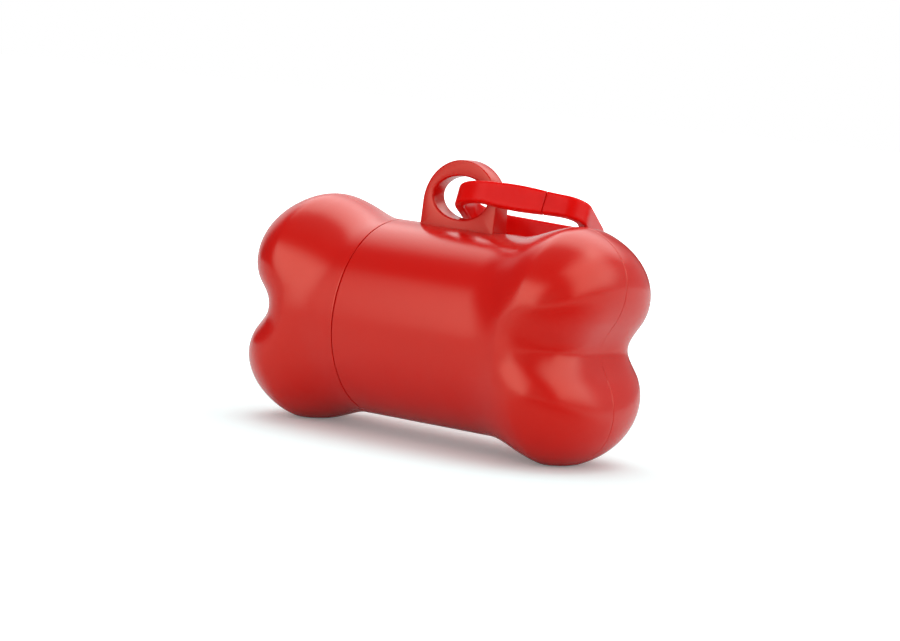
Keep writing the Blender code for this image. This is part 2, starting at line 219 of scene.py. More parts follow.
class LoopSizes(bpy.types.PropertyGroup):
    """Sizes of the hang loop and the slot."""
    middle: length("Loop middle", "Place of the loop along the bone", 0.00168)
    half_width: length("Loop half width", "Half the width of the plate", 0.00898)
    rise: length("Loop rise", "Top of the loop above the barrel", 0.0136)
    root: length("Loop root", "How far the plate is set into the wall", 0.0011)
    foot_thickness: length("Foot thickness", "Thickness of the plate at the barrel", 0.0049)
    head_thickness: length("Head thickness", "Thickness of the plate at its top", 0.0036)
    hole_half_width: length("Hole half width", "Half the width of the oval hole", 0.0066)
    hole_half_height: length("Hole half height", "Half the height of the oval hole", 0.00428)
    hole_rise: length("Hole rise", "Middle of the hole above the barrel", 0.00605)
    hole_round: length("Hole round", "Round of the hole's rim", 0.0006)
    edge_round: length("Edge round", "Round of the plate's outer edges", 0.0003)
    slot_middle: length("Slot middle", "Place of the slot along the bone", 0.0015)
    slot_length: length("Slot length", "Length of the slot", 0.0220)
    slot_height: length("Slot height", "Height of the slot", 0.0060)
    slot_chamfer: length("Slot chamfer", "Depth of the chamfer round the slot's outer edge", 0.0009)


class RollSizes(bpy.types.PropertyGroup):
    """Sizes of the wound bags and their core."""
    core_wall: length("Core wall", "Thickness of the card", 0.001)
    core_round: length("Core round", "Worn edge of the card", 0.0001)
    core_gap: length("Core gap", "Gap between the card and the film", 0.0003)
    film_edge: length("Film edge", "Drawn-in edge of the outer layers", 0.0004)
    film_lead: length("Film lead", "Length of that edge along the roll", 0.0006)
    film_step: length("Film step", "How far every second layer stands back at the ends", 0.00025)
    film_ripple: length("Film ripple", "Depth of the ripples around the roll", 0.00012)


class ClipSizes(bpy.types.PropertyGroup):
    """Sizes of the snap clip."""
    length: length("Clip length", "Length along the middle of the band", 0.0262)
    width: length("Clip width", "Width along the middle of the band", 0.0197)
    loop_corner: length("Loop corner", "Radius of the corners in the loop, at the middle of the band", 0.0074)
    nose_corner: length("Nose corner", "Radius of the corners at the nose, at the middle of the band", 0.0036)
    band: length("Band height", "Height of the band", 0.0043)
    thickness: length("Band thickness", "Thickness of the band", 0.0022)
    join_drop: length("Join drop", "Far corner in the loop to where the gate's arm begins", 0.0015)
    swell: length("Arm swell", "Extra height of the band at the middle of the near arm", 0.0008)
    edge: length("Edge round", "Round of the band's edges", 0.0005)
    gate_root: length("Gate root", "Gate's hinge from the middle of the near arm", -0.0045)
    gate_tip: length("Gate tip", "Gate's tip from the middle of the near arm", 0.0057)
    gap: length("Gate gap", "Gap between the gate's tip and the nose", 0.00012)
    tip_round: length("Tip round", "Softened edge of the gate's tip and the nose", 0.0001)
    hinge_reach: length("Hinge reach", "How far the bend runs to each side of the gate's hinge", 0.0013)


class Colours(bpy.types.PropertyGroup):
    """Colours of the mouldings, the clip, the roll and the floor."""
    moulding: colour("Moulding", "Satin red of the shell and cap", "#CA0B06")
    moulding_deep: colour("Deep moulding", "Slightly deeper red that mottles it", "#C30904")
    moulding_sheen: colour("Moulding sheen", "Warm tint of its reflections", "#FFEFD4")
    clip: colour("Clip", "Clear red of the clip", "#CC0303")
    clip_light: colour("Light clip", "Lighter red where light gathers in the clip", "#DC140E")
    card: colour("Card", "Core of the roll", "#B09A7C")
    card_fibre: colour("Card fibre", "Darker fibres in the card", "#8A7458")
    film: colour("Film", "Wound bags", "#26282B")
    film_edge: colour("Film edge", "Lighter edges of the wound layers", "#3A3D41")
    floor: colour("Floor", "Pale studio floor", "#E9FAFA")
    floor_mirrored: colour("Mirrored floor", "Floor where the plastic mirrors its unlit side", "#202020")


def smooth_min(first, second, reach):
    """Lower of two distances, rounded over where they are within reach of each other."""
    overlap = np.maximum(reach - np.abs(first - second), 0.0) / reach
    return np.minimum(first, second) - overlap * overlap * reach / 4


def smooth_max(first, second, reach):
    """Higher of two distances, rounded over in the same way."""
    return -smooth_min(-first, -second, reach)


def ellipse_distance(across, up, half_width, half_height):
    """Distance to an ellipse, negative inside: close near its edge, and eased to one depth at its middle."""
    share = np.hypot(across / half_width, up / half_height)
    slope = np.maximum(np.hypot(across / half_width ** 2, up / half_height ** 2), TINY)
    middle = (half_width + half_height) / 2
    ease = share ** 2 * (1 + MIDDLE_EASE ** 2) / (share ** 2 + MIDDLE_EASE ** 2)
    reach = middle + (share / slope - middle) * ease
    rim = math.hypot(1.0, MIDDLE_EASE)
    return reach * rim * (np.hypot(share, MIDDLE_EASE) - rim)


def bone_distance(points, sizes):
    """Distance to the bone's skin, negative inside: the barrel and the crowned lobes, blended."""
    along = np.abs(points[..., 0])
    y, z = points[..., 1], points[..., 2]
    round_over = sizes.barrel_edge_round
    side = np.hypot(y, z) - (sizes.barrel_radius - round_over)
    end = along - (sizes.barrel_half_length - round_over)
    corner = np.hypot(np.maximum(side, 0.0), np.maximum(end, 0.0))
    barrel = np.minimum(np.maximum(side, end), 0.0) + corner - round_over
    upper, lower = (
        ellipse_distance(along - sizes.lobe_reach, z - rise, sizes.lobe_half_length, sizes.lobe_half_height)
        for rise in (sizes.lobe_rise, -sizes.lobe_rise)
    )
    lobes = smooth_min(upper, lower, sizes.notch_blend)
    crown = ellipse_distance(y, z, sizes.crown_half_depth, sizes.crown_half_height)
    return smooth_min(barrel, smooth_max(lobes, crown, sizes.crown_blend), sizes.barrel_blend)


def skin_points(start, directions, sizes):
    """Where rays from inside the bone leave it."""
    near = np.zeros(len(directions))
    far = np.full(len(directions), RAY_REACH)
    for _ in range(RAY_HALVINGS):
        middle = (near + far) / 2
        inside = bone_distance(start + directions * middle[:, None], sizes) < 0.0
        near = np.where(inside, middle, near)
        far = np.where(inside, far, middle)
    return start + directions * near[:, None]


def skin_normals(points, sizes):
    """Outward directions of the bone's skin."""
    steps = np.eye(3) * SLOPE_STEP
    slopes = [bone_distance(points + step, sizes) - bone_distance(points - step, sizes) for step in steps]
    slopes = np.stack(slopes, axis=-1)
    return slopes / np.linalg.norm(slopes, axis=-1, keepdims=True)


def ring_directions(spread):
    """Directions of a ring's points out from the axis, closer together at the mould line on top and below."""
    turns = [2 * math.pi * k / AROUND for k in range(AROUND)]
    for line in (math.pi / 2, 3 * math.pi / 2):
        turns += [line + math.radians(offset * spread) for offset in LINE_OFFSETS]
    turns = np.array(sorted(turns))
    return np.stack([np.zeros_like(turns), np.cos(turns), np.sin(turns)], axis=-1)


# Directions of a plain ring, and which of its points lie on the mould line
TURN_DIRECTIONS = ring_directions(1.0)
MOULD_LINE = np.abs(np.abs(TURN_DIRECTIONS[:, 2]) - 1.0) < TINY


def skin_ring(side, reach, tilt, sizes):
    """Ring of skin points seen from one place on the axis, with the fine line of the mould."""
    start = np.array([side * reach, 0.0, 0.0])
    lean = np.array([side * math.sin(tilt), 0.0, 0.0])
    # The line keeps its width as the rings close in on the notch
    directions = ring_directions(min(1 / math.cos(tilt), LINE_SPREAD))
    ring = skin_points(start, lean + directions * math.cos(tilt), sizes)
    lobe_start = sizes.lobe_reach - sizes.lobe_half_length
    fade = np.clip((np.abs(ring[:, 0]) - lobe_start) / sizes.barrel_blend, 0, 1)
    return ring - skin_normals(ring, sizes) * (MOULD_LINE * fade * sizes.mould_line)[:, None]


def round_ring(place, radius):
    """Circle around the axis."""
    return np.array([place, 0.0, 0.0]) + TURN_DIRECTIONS * radius


def footed(ring, sizes):
    """The ring with its lowest points eased onto the level of the feet."""
    eased = ring.copy()
    eased[:, 2] = smooth_max(ring[:, 2], np.full(len(ring), -AXIS_HEIGHT), sizes.foot_ease)
    return eased


def end_rings(side, blend_start, sizes):
    """Skin rings of one end of the bone, from beside the notch back to the barrel."""
    tilts = [math.pi / 2 * k / END_STEPS for k in range(END_STEPS - 1, 0, -1)]
    rings = [skin_ring(side, sizes.lobe_reach, tilt, sizes) for tilt in tilts]
    run = sizes.lobe_reach - blend_start
    for k in range(BLEND_STEPS + 1):
        rings.append(skin_ring(side, sizes.lobe_reach - run * k / BLEND_STEPS, 0.0, sizes))
    return rings


def inside_rings(outer, sizes):
    """Inner rings of one end, one wall in from the skin, up to the collar around the pin."""
    clear = CORE_BOX[1][1] + sizes.collar_lip + sizes.collar_clear
    kept = [ring for ring in outer[::-1] if np.hypot(ring[:, 1], ring[:, 2]).min() > clear]
    return [ring - skin_normals(ring, sizes) * sizes.wall for ring in kept[::INSIDE_STRIDE]]


def turned_rings(steps):
    """Circles around the axis from pairs of place and radius."""
    return [round_ring(place, radius) for place, radius in steps]


def rim_steps(seam, inward, sizes):
    """Places and radii of the outer edge at the seam; inward is the way along the bone into the piece."""
    radius, soft = sizes.barrel_radius, sizes.rim_round
    middle = soft * ROUND_MIDDLE
    return [(seam + inward * soft, radius), (seam + inward * middle, radius - middle), (seam, radius - soft)]


def pin_tip(side, sizes):
    """Middle of a pin's tip."""
    return np.array([side * (CORE_BOX[1][0] - sizes.pin_length), 0.0, 0.0])


def pin_rings(side, wall_place, sizes, roll):
    """Rings of the collar and the pin that carry the core, from the end wall inwards."""
    core_end, core_radius = CORE_BOX[1][0], CORE_BOX[1][1]
    stop, tip, soft = core_end + sizes.running_gap, core_end - sizes.pin_length, sizes.pin_round
    collar = core_radius + sizes.collar_lip
    pin = core_radius - roll.core_wall - sizes.running_gap
    steps = ((wall_place, collar), (stop, collar), (stop, pin), (tip + soft, pin), (tip, pin - soft))
    return turned_rings([(side * place, radius) for place, radius in steps])


def sleeve(rings, poles=None):
    """Vertices and faces of a closed skin through rings, closed by a point at each end or run round."""
    count = len(rings[0])
    vertices = [tuple(p) for ring in rings for p in ring]
    spans = list(zip(range(len(rings) - 1), range(1, len(rings))))
    if poles is None:
        spans.append((len(rings) - 1, 0))
    faces = []
    for one, two in spans:
        for k in range(count):
            after = (k + 1) % count
            faces.append((one * count + k, one * count + after, two * count + after, two * count + k))
    if poles is not None:
        for pole, ring in zip(poles, (0, len(rings) - 1)):
            tip = len(vertices)
            vertices.append(tuple(pole))
            faces += [(ring * count + k, ring * count + (k + 1) % count, tip) for k in range(count)]
    return vertices, faces


def mesh_object(name, shapes, place):
    """Object of one or more closed shapes, shaded smooth with crisp edges, faces pointing out."""
    build = bmesh.new()
    for vertices, faces in shapes:
        made = [build.verts.new(v) for v in vertices]
        for face in faces:
            build.faces.new([made[k] for k in face])
    bmesh.ops.recalc_face_normals(build, faces=build.faces)
    data = bpy.data.meshes.new(name)
    build.to_mesh(data)
    build.free()
    data.transform(place)
    data.shade_smooth()
    data.set_sharp_from_angle(angle=SHARP_ANGLE)
    piece = bpy.data.objects.new(name, data)
    bpy.context.collection.objects.link(piece)
    return piece


def carve(piece, tool):
    """Cut a tool out of a piece, kept as the piece's own mesh; the tool is removed."""
    step = piece.modifiers.new("carve", "BOOLEAN")
    step.operation = "DIFFERENCE"
    step.solver = "EXACT"
    step.object = tool
    bpy.context.view_layer.update()
    shaped = bpy.data.meshes.new_from_object(piece.evaluated_get(bpy.context.evaluated_depsgraph_get()))
    piece.modifiers.clear()
    piece.data = shaped
    piece.data.set_sharp_from_angle(angle=SHARP_ANGLE)
    bpy.data.objects.remove(tool, do_unlink=True)


def add_node(tree, kind, settings=None, links=None):
    """Node of one kind with its settings, and links from other nodes' outputs to its inputs."""
    node = tree.nodes.new(kind)
    for key, value in (settings or {}).items():
        if isinstance(key, str) and hasattr(node, key):
            setattr(node, key, value)
        else:
            node.inputs[key].default_value = value
    for key, output in (links or {}).items():
        tree.links.new(output, node.inputs[key])
    return node


def new_material(name, settings):
    """Node material, its tree and its Principled shader with settings on the shader's sockets."""
    made = bpy.data.materials.new(name)
    made.use_nodes = True
    shader = made.node_tree.nodes["Principled BSDF"]
    for socket, value in settings.items():
        shader.inputs[socket].default_value = value
    return made, made.node_tree, shader


def mottle(tree, shader, first, second, patch):
    """Give a shader a colour that drifts between two close tones, over patches of a real size in metres."""
    spot = add_node(tree, "ShaderNodeTexCoord")
    drift = add_node(
        tree, "ShaderNodeTexNoise", {"Scale": 1 / patch, "Detail": 3.0}, {"Vector": spot.outputs["Object"]},
    )
    mix = add_node(
        tree, "ShaderNodeMix", {"data_type": "RGBA", MIX_FIRST: (*first, 1.0), MIX_SECOND: (*second, 1.0)},
        {"Factor": drift.outputs["Fac"]},
    )
    tree.links.new(mix.outputs[MIX_RESULT], shader.inputs["Base Color"])
    return spot.outputs["Object"], drift.outputs["Fac"]


def satin_moulded_polypropylene(colours):
    """Polypropylene from a spark-eroded mould: soft broad reflections, a little warm, and a fine grain."""
    made, tree, shader = new_material("satin_moulded_polypropylene", {
        "IOR": 1.49,
        "Specular Tint": (*colours.moulding_sheen, 1.0),
        "Subsurface Weight": 0.06,
        "Subsurface Radius": (1.0, 0.2, 0.1),
        "Subsurface Scale": 0.0012,
    })
    # Drifts of tone and gloss 18 mm across, and a grit of 0.25 mm; the real grain of the mould is finer,
    # and is drawn this coarse to show in the render
    patch, grit = 0.018, 0.00025
    spot, drift = mottle(tree, shader, colours.moulding, colours.moulding_deep, patch)
    gloss = add_node(tree, "ShaderNodeMapRange", {"To Min": 0.20, "To Max": 0.25}, {"Value": drift})
    tree.links.new(gloss.outputs["Result"], shader.inputs["Roughness"])
    grain = add_node(tree, "ShaderNodeTexNoise", {"Scale": 1 / grit, "Detail": 2.0}, {"Vector": spot})
    bump = add_node(
        tree, "ShaderNodeBump", {"Strength": 0.05, "Distance": 0.00005}, {"Height": grain.outputs["Fac"]},
    )
    tree.links.new(bump.outputs["Normal"], shader.inputs["Normal"])
    return made


def glossy_clear_acetal(colours):
    """Tinted plastic from a polished mould: clear red that glows where light comes through."""
    made, tree, shader = new_material("glossy_clear_acetal", {
        "IOR": 1.48,
        "Specular IOR Level": 0.1,
        "Subsurface Weight": 0.5,
        "Subsurface Radius": (1.0, 0.08, 0.05),
        "Subsurface Scale": 0.003,
    })
    # Lighter patches 4 mm across, and flow waves about 2 mm apart as in a thick clear moulding
    patch, flow = 0.004, 0.002
    spot, drift = mottle(tree, shader, colours.clip, colours.clip_light, patch)
    gloss = add_node(tree, "ShaderNodeMapRange", {"To Min": 0.14, "To Max": 0.24}, {"Value": drift})
    tree.links.new(gloss.outputs["Result"], shader.inputs["Roughness"])
    wave = add_node(tree, "ShaderNodeTexNoise", {"Scale": 1 / flow, "Detail": 1.0}, {"Vector": spot})
    bump = add_node(
        tree, "ShaderNodeBump", {"Strength": 0.35, "Distance": 0.00012}, {"Height": wave.outputs["Fac"]},
    )
    tree.links.new(bump.outputs["Normal"], shader.inputs["Normal"])
    return made


def spiral_wound_card(colours):
    """Grey-brown card wound in a spiral: matt, with a short uneven fibre."""
    made, tree, shader = new_material("spiral_wound_card", {"Roughness": 0.88})
    # Fibres about 1.2 mm long
    fibre = 0.0012
    _, drift = mottle(tree, shader, colours.card, colours.card_fibre, fibre)
    bump = add_node(tree, "ShaderNodeBump", {"Strength": 0.3, "Distance": 0.0001}, {"Height": drift})
    tree.links.new(bump.outputs["Normal"], shader.inputs["Normal"])
    return made


def wound_polyethylene_film(colours):
    """Thin blown film wound tight: a silky skin with fine creases along the folds."""
    made, tree, shader = new_material("wound_polyethylene_film", {"IOR": 1.51, "Roughness": 0.38})
    # Paler patches 4 mm across, and creases about 0.7 mm apart that run around the roll
    patch, crease = 0.004, 0.0007
    spot, _ = mottle(tree, shader, colours.film, colours.film_edge, patch)
    stretch = add_node(tree, "ShaderNodeMapping", {"Scale": (1.0, 0.2, 0.2)}, {"Vector": spot})
    folds = add_node(
        tree, "ShaderNodeTexNoise", {"Scale": 1 / crease, "Detail": 2.0},
        {"Vector": stretch.outputs["Vector"]},
    )
    bump = add_node(
        tree, "ShaderNodeBump", {"Strength": 0.35, "Distance": 0.0002}, {"Height": folds.outputs["Fac"]},
    )
    tree.links.new(bump.outputs["Normal"], shader.inputs["Normal"])
    return made


def reach_range(reach, values):
    """Settings of a map range node from two distances to two values."""
    return {"From Min": reach[0], "From Max": reach[1], "To Min": values[0], "To Max": values[1]}


def painted_board(colours):
    """Matt white studio board: takes the soft shadow, and runs out to plain white away from it."""
    made, tree, shader = new_material("painted_board", {
        "Roughness": 0.9,
        "Specular IOR Level": 0.0,
        "Emission Color": (*linear("#FFFFFF"), 1.0),
    })
    path = add_node(tree, "ShaderNodeLightPath")
    spot = add_node(tree, "ShaderNodeTexCoord")
    # In reflections the board darkens towards its unlit side
    unlit = add_node(
        tree, "ShaderNodeVectorMath", {"operation": "DISTANCE", 1: UNLIT_PLACE}, {0: spot.outputs["Object"]},
    )
    shade = add_node(
        tree, "ShaderNodeMapRange", reach_range(UNLIT_REACH, UNLIT_SHARE), {"Value": unlit.outputs["Value"]},
    )
    dim = add_node(
        tree, "ShaderNodeMapRange", {"To Min": 0.0},
        {"Value": path.outputs["Is Glossy Ray"], "To Max": shade.outputs["Result"]},
    )
    tone = add_node(
        tree, "ShaderNodeMix",
        {"data_type": "RGBA", MIX_FIRST: (*colours.floor, 1.0), MIX_SECOND: (*colours.floor_mirrored, 1.0)},
        {"Factor": dim.outputs["Result"]},
    )
    tree.links.new(tone.outputs[MIX_RESULT], shader.inputs["Base Color"])
    # Where the camera looks, white comes up with the distance from the dispenser
    away = add_node(tree, "ShaderNodeVectorMath", {"operation": "LENGTH"}, {0: spot.outputs["Object"]})
    white = add_node(
        tree, "ShaderNodeMapRange", reach_range(WHITE_REACH, WHITE_STRENGTH),
        {"Value": away.outputs["Value"]},
    )
    seen = add_node(
        tree, "ShaderNodeMapRange", {"To Min": 0.0},
        {"Value": path.outputs["Is Camera Ray"], "To Max": white.outputs["Result"]},
    )
    tree.links.new(seen.outputs["Result"], shader.inputs["Emission Strength"])
    return made


def on_axis():
    """Place of what is modelled from the barrel's middle."""
    return Matrix.Translation((0.0, 0.0, AXIS_HEIGHT))


def thread_ridges(root, crest, offset, sizes):
    """Ridges of the thread around the axis; offset turns them, in shares of their spacing."""
    first = SEAM_PLACE - sizes.thread_lead_in
    last = SEAM_PLACE - sizes.neck_length + sizes.thread_lead_in
    foot, top = sizes.thread_foot, sizes.thread_crest
    corners = ((-foot, root), (-top, crest), (top, crest), (foot, root))
    shapes = []
    for start in range(THREAD_STARTS):
        rings = []
        for k in range(THREAD_STEPS + 1):
            place = first + (last - first) * k / THREAD_STEPS
            turn = 2 * math.pi * ((place - SEAM_PLACE) / sizes.thread_lead + (start + offset) / THREAD_STARTS)
            out = np.array([0.0, math.cos(turn), math.sin(turn)])
            rings.append([np.array([place + along, 0.0, 0.0]) + out * radius for along, radius in corners])
        poles = [np.mean(rings[0], axis=0), np.mean(rings[-1], axis=0)]
        shapes.append(sleeve(rings, poles))
    return shapes


def slot_tool(sizes, slot):
    """Cutter of the slot: a bar with round ends that flares at the barrel's skin."""
    radius = slot.slot_height / 2
    run = slot.slot_length / 2 - radius
    skin = sizes.barrel_radius
    low, high = skin - sizes.wall - radius, skin + sizes.wall
    layers = ((low, 0.0), (skin - slot.slot_chamfer, 0.0), (high, sizes.wall + slot.slot_chamfer))
    turns = [math.pi / 2 - math.pi * k / CORNER_STEPS for k in range(CORNER_STEPS + 1)]
    rings = []
    for depth, grow in layers:
        reach = radius + grow
        ring = []
        for side in (1, -1):
            for turn in turns:
                along = slot.slot_middle + side * (run + reach * math.cos(turn))
                ring.append(np.array([along, depth, side * reach * math.sin(turn)]))
        rings.append(ring)
    poles = [np.array([slot.slot_middle, depth, 0.0]) for depth in (low, high)]
    return mesh_object("slot_tool", [sleeve(rings, poles)], on_axis())


class DISPENSER_OT_shell(bpy.types.Operator):
    """Shell: closed bone end, barrel, shoulder and threaded neck, with the slot in the back"""
    bl_idname = "dispenser.shell"
    bl_label = "Body shell"

    def execute(self, context):
        sizes, slot, roll = context.scene.bone_sizes, context.scene.loop_sizes, context.scene.roll_sizes
        radius = sizes.barrel_radius
        outer = end_rings(1, sizes.lobe_reach - sizes.lobe_half_length - sizes.barrel_blend, sizes)
        pole = skin_points(np.array([sizes.lobe_reach, 0.0, 0.0]), np.array([[1.0, 0.0, 0.0]]), sizes)[0]
        seam = SEAM_PLACE + sizes.seam_gap / 2
        shoulder = SEAM_PLACE + sizes.shoulder_wall
        neck = radius - sizes.shoulder_depth
        neck_end = SEAM_PLACE - sizes.neck_length
        bore = neck - sizes.neck_wall
        start = outer[-1][0][0]
        run = seam + sizes.rim_round * 2 - start
        rings = [footed(ring, sizes) for ring in outer]
        rings += [round_ring(start + run * k / BARREL_STEPS, radius) for k in range(1, BARREL_STEPS + 1)]
        rings += turned_rings(rim_steps(seam, 1, sizes))
        rings += turned_rings((
            (seam, neck), (neck_end + sizes.neck_round, neck), (neck_end, neck - sizes.neck_round),
            (neck_end, bore), (shoulder, bore), (shoulder, radius - sizes.wall),
        ))
        rings += inside_rings(outer, sizes)
        rings += pin_rings(1, pole[0] - sizes.wall, sizes, roll)
        piece = mesh_object("shell_moulding", [sleeve(rings, (pole, pin_tip(1, sizes)))], on_axis())
        carve(piece, slot_tool(sizes, slot))
        piece.data.materials.clear()
        piece.data.materials.append(satin_moulded_polypropylene(context.scene.dispenser_colours))
        ridges = thread_ridges(neck - sizes.thread_sink, neck + sizes.thread_depth, 0.0, sizes)
        thread = mesh_object("neck_thread", ridges, on_axis())
        thread.data.materials.append(piece.data.materials[0])
        for part in (piece, thread):
            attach(part, "shell")
        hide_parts("body_shell")
        return {"FINISHED"}


class DISPENSER_OT_hang_loop(bpy.types.Operator):
    """Hang loop: a plate with straight sides, a round head and an oval hole"""
    bl_idname = "dispenser.hang_loop"
    bl_label = "Hang loop"

    def execute(self, context):
        sizes, loop = context.scene.bone_sizes, context.scene.loop_sizes
        base = sizes.barrel_radius - loop.root
        centre = sizes.barrel_radius + loop.hole_rise
        head = sizes.barrel_radius + loop.rise - loop.half_width
        corner = math.atan2(base - centre, loop.half_width)
        turns = [2 * math.pi * k / LOOP_AROUND for k in range(LOOP_AROUND)]
        for wanted in (corner % (2 * math.pi), (math.pi - corner) % (2 * math.pi)):
            turns[min(range(LOOP_AROUND), key=lambda k: abs(turns[k] - wanted))] = wanted
        taper = (loop.foot_thickness - loop.head_thickness) / (loop.rise + loop.root)

        def outline(across, up):
            """Reach from the hole's middle to the plate's sides, foot or round head."""
            reach = loop.half_width / max(abs(across), TINY)
            if up < 0.0:
                reach = min(reach, (base - centre) / up)
            drop = head - centre
            if reach * up > drop:
                reach = up * drop + math.sqrt((up * drop) ** 2 - drop ** 2 + loop.half_width ** 2)
            return reach

        def layer(hole, soft, side, lean):
            """Ring on one side of the plate, round the hole or the outline, at one lean of its round edge."""
            grow, sink = soft * (1 - math.sin(lean)), soft * (1 - math.cos(lean))
            ring = []
            for turn in turns:
                across, up = math.cos(turn), math.sin(turn)
                if hole:
                    x, z = (loop.hole_half_width + grow) * across, (loop.hole_half_height + grow) * up
                else:
                    reach = outline(across, up) - grow
                    x, z = reach * across, reach * up
                half = (loop.foot_thickness - taper * (z + centre - base)) / 2
                ring.append(np.array([loop.middle + x, side * (half - sink), centre + z]))
            return ring

        leans = [math.pi / 2 * k / LOOP_EDGE_STEPS for k in range(LOOP_EDGE_STEPS + 1)]
        rings = []
        for side in (1, -1):
            outside = [layer(False, loop.edge_round, side, lean) for lean in leans]
            inside = [layer(True, loop.hole_round, side, lean) for lean in leans]
            rings += inside[::-1] + outside if side == 1 else outside[::-1] + inside
        piece = mesh_object("hang_loop", [sleeve(rings)], on_axis())
        piece.data.materials.append(bpy.data.materials["satin_moulded_polypropylene"])
        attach(piece, "shell")
        return {"FINISHED"}


class DISPENSER_OT_cap(bpy.types.Operator):
    """Screw cap: the other bone end with its threaded bore"""
    bl_idname = "dispenser.cap"
    bl_label = "Screw cap"

    def execute(self, context):
        sizes, roll = context.scene.bone_sizes, context.scene.roll_sizes
        seam = SEAM_PLACE - sizes.seam_gap / 2
        outer = end_rings(-1, sizes.rim_round * 2 - seam, sizes)
        pole = skin_points(np.array([-sizes.lobe_reach, 0.0, 0.0]), np.array([[-1.0, 0.0, 0.0]]), sizes)[0]
        bore = sizes.barrel_radius - sizes.shoulder_depth + sizes.thread_depth + sizes.thread_clearance
        floor = SEAM_PLACE - sizes.neck_length - sizes.running_gap
        rings = [footed(ring, sizes) for ring in outer]
        rings += turned_rings(rim_steps(seam, -1, sizes))
        rings += turned_rings((
            (seam, bore + sizes.bore_round), (seam - sizes.bore_round, bore), (floor, bore),
        ))
        rings += inside_rings([ring for ring in outer if ring[:, 0].max() < floor - sizes.wall / 2], sizes)
        rings += pin_rings(-1, -pole[0] - sizes.wall, sizes, roll)
        piece = mesh_object("cap_moulding", [sleeve(rings, (pole, pin_tip(-1, sizes)))], on_axis())
        ridges = thread_ridges(bore + sizes.thread_sink, bore - sizes.thread_depth, 0.5, sizes)
        thread = mesh_object("cap_thread", ridges, on_axis())
        for part in (piece, thread):
            part.data.materials.append(bpy.data.materials["satin_moulded_polypropylene"])
            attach(part, "cap")
        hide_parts("screw_cap")
        return {"FINISHED"}


def film_end(side, sizes):
    """Rings across one end of the roll, from the core out, with every second one set back."""
    count = FILM_LAYERS * 2
    half, inner = ROLL_BOX[1][0], CORE_BOX[1][1] + sizes.core_gap
    run = ROLL_BOX[1][1] - sizes.film_edge - inner
    set_back = (0.0, sizes.film_step)
    places = [side * (half - set_back[k % 2]) for k in range(count + 1)]
    return turned_rings([(place, inner + run * k / count) for k, place in enumerate(places)])


def film_skin(sizes):
    """Rings along the outside of the roll, with uneven ripples."""
    lead, outer = ROLL_BOX[1][0] - sizes.film_lead, ROLL_BOX[1][1]
    first, second = RIPPLE_TURNS
    steps = []
    for k in range(FILM_WAVES + 1):
        ripple = sizes.film_ripple * (1 + math.sin(k * first) * math.cos(k * second)) / 2
        steps.append((lead - 2 * lead * k / FILM_WAVES, outer - ripple))
    return turned_rings(steps)


class DISPENSER_OT_roll(bpy.types.Operator):
    """Roll of bags wound from thin film"""
    bl_idname = "dispenser.roll"
    bl_label = "Bag roll"

    def execute(self, context):
        sizes = context.scene.roll_sizes
        rings = film_end(1, sizes) + film_skin(sizes) + film_end(-1, sizes)[::-1]
        film = mesh_object("wound_bags", [sleeve(rings)], on_axis())
        film.data.materials.append(wound_polyethylene_film(context.scene.dispenser_colours))
        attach(film, "roll")
        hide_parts("bag_roll")
        return {"FINISHED"}


class DISPENSER_OT_core(bpy.types.Operator):
    """Card core that the roll is wound on"""
    bl_idname = "dispenser.core"
    bl_label = "Roll core"

    def execute(self, context):
        sizes = context.scene.roll_sizes
        half, outer, soft = CORE_BOX[1][0], CORE_BOX[1][1], sizes.core_round
        inner = outer - sizes.core_wall
        steps = (
            (half, outer - soft), (half - soft, outer), (soft - half, outer), (-half, outer - soft),
            (-half, inner + soft), (soft - half, inner), (half - soft, inner), (half, inner + soft),
        )
        core = mesh_object("card_core", [sleeve(turned_rings(steps))], on_axis())
        core.data.materials.append(spiral_wound_card(context.scene.dispenser_colours))
        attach(core, "core")
        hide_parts("roll_core")
        return {"FINISHED"}


def clip_place(sizes):
    """Matrix of the clip at rest: its middle and its directions along, across and square to its plane."""
    flat, drop = math.cos(CLIP_PITCH), math.sin(CLIP_PITCH)
    along = Vector((math.cos(CLIP_YAW) * flat, math.sin(CLIP_YAW) * flat, -drop))
    level = Vector((-math.sin(CLIP_YAW), math.cos(CLIP_YAW), 0.0))
    back = level * math.cos(CLIP_TILT) - along.cross(level) * math.sin(CLIP_TILT)
    turn = Matrix((along, back, along.cross(back))).transposed()
    hinge = Vector(JOINTS["gate_open"]["pos_m"])
    centre = hinge - turn @ Vector((sizes.gate_root, -sizes.width / 2, 0.0))
    return Matrix.Translation(centre) @ turn.to_4x4()


def straight(first, last, count=STRAIGHT_STEPS):
    """Places along a straight run, with the direction square to it on its outer side."""
    first, last = np.array(first), np.array(last)
    out = np.array([first[1] - last[1], last[0] - first[0]]) / np.linalg.norm(last - first)
    return [(first + (last - first) * k / count, out) for k in range(count + 1)]


def bend(centre, radius, first, last):
    """Places round a corner between two turns, with the direction out of it; straight runs hold its ends."""
    turns = [math.radians(first + (last - first) * k / CORNER_STEPS) for k in range(1, CORNER_STEPS)]
    outs = [np.array([math.cos(turn), math.sin(turn)]) for turn in turns]
    return [(np.array(centre) + radius * out, out) for out in outs]


def band_section(sizes, shrink):
    """Section of the band with round edges: distance out and height of each point, in order."""
    half, tall, soft = sizes.thickness / 2 - shrink, sizes.band / 2 - shrink, sizes.edge
    points = []
    for side, level, start in ((1, 1, 0), (-1, 1, 90), (-1, -1, 180), (1, -1, 270)):
        middle = np.array([side * (half - soft), level * (tall - soft)])
        turns = [math.radians(start + 90 * k / EDGE_STEPS) for k in range(EDGE_STEPS + 1)]
        outs = [np.array([math.cos(turn), math.sin(turn)]) for turn in turns]
        before = middle + soft * outs[0] - FLAT_LEAD * outs[-1]
        after = middle + soft * outs[-1] - FLAT_LEAD * outs[0]
        points += [before, *(middle + soft * out for out in outs), after]
    return points


